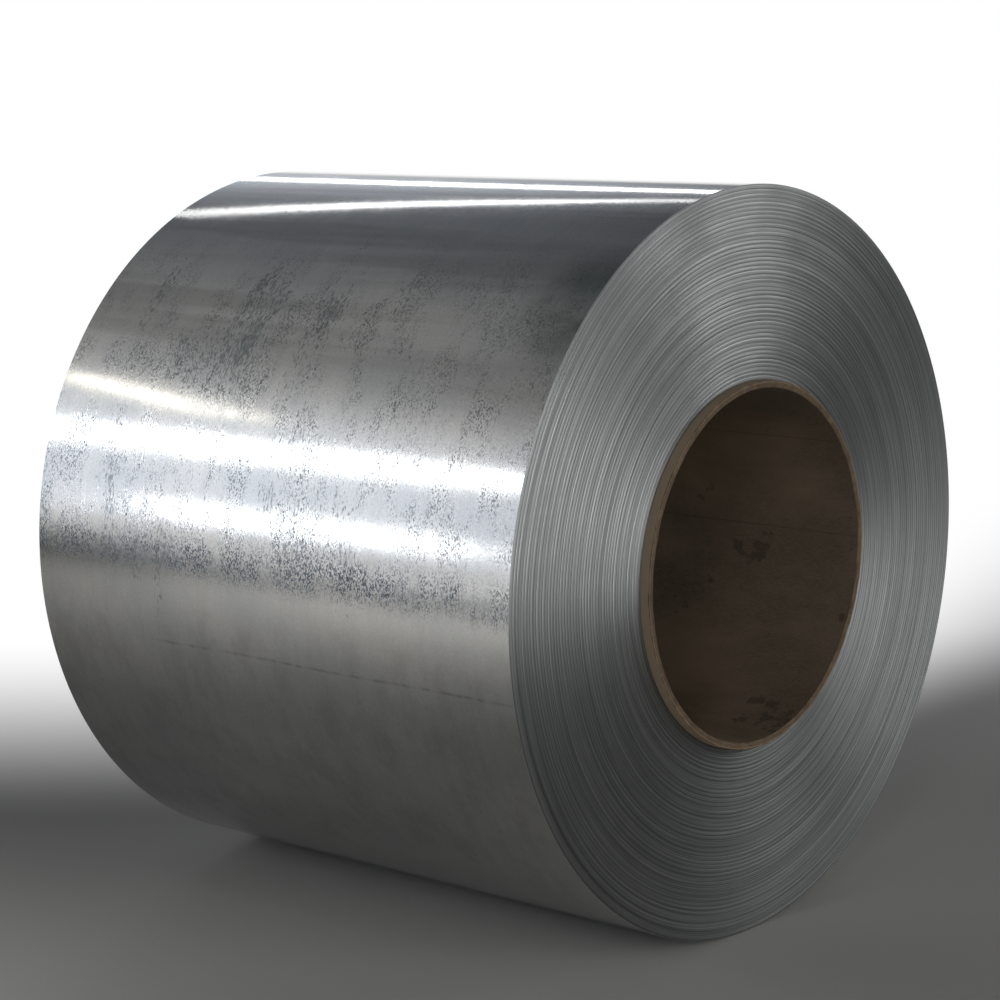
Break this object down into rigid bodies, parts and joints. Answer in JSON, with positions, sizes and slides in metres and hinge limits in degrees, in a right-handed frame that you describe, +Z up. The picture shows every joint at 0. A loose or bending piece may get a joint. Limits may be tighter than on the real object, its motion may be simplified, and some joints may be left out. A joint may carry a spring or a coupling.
{
  "type": "steel coil",
  "caption": "Coil of galvanised steel strip wound on a fibre core tube, lying on its side, with an open eye for a mandrel or coil hook.",
  "frame": {"origin": "on the floor, midway along the line that the coil rests on", "axes": "+X along the coil's axis, +Z up, with the strip's outer end low down on the +Y side"},
  "size_m": [0.944, 1.0793, 1.0804],
  "materials": {
    "galvanised_steel": "satin",
    "core_fibre": "matte"
  },
  "bodies": {
    "root": {"steel_coil": "galvanised_steel", "core_tube": "core_fibre"}
  },
  "joints": []
}
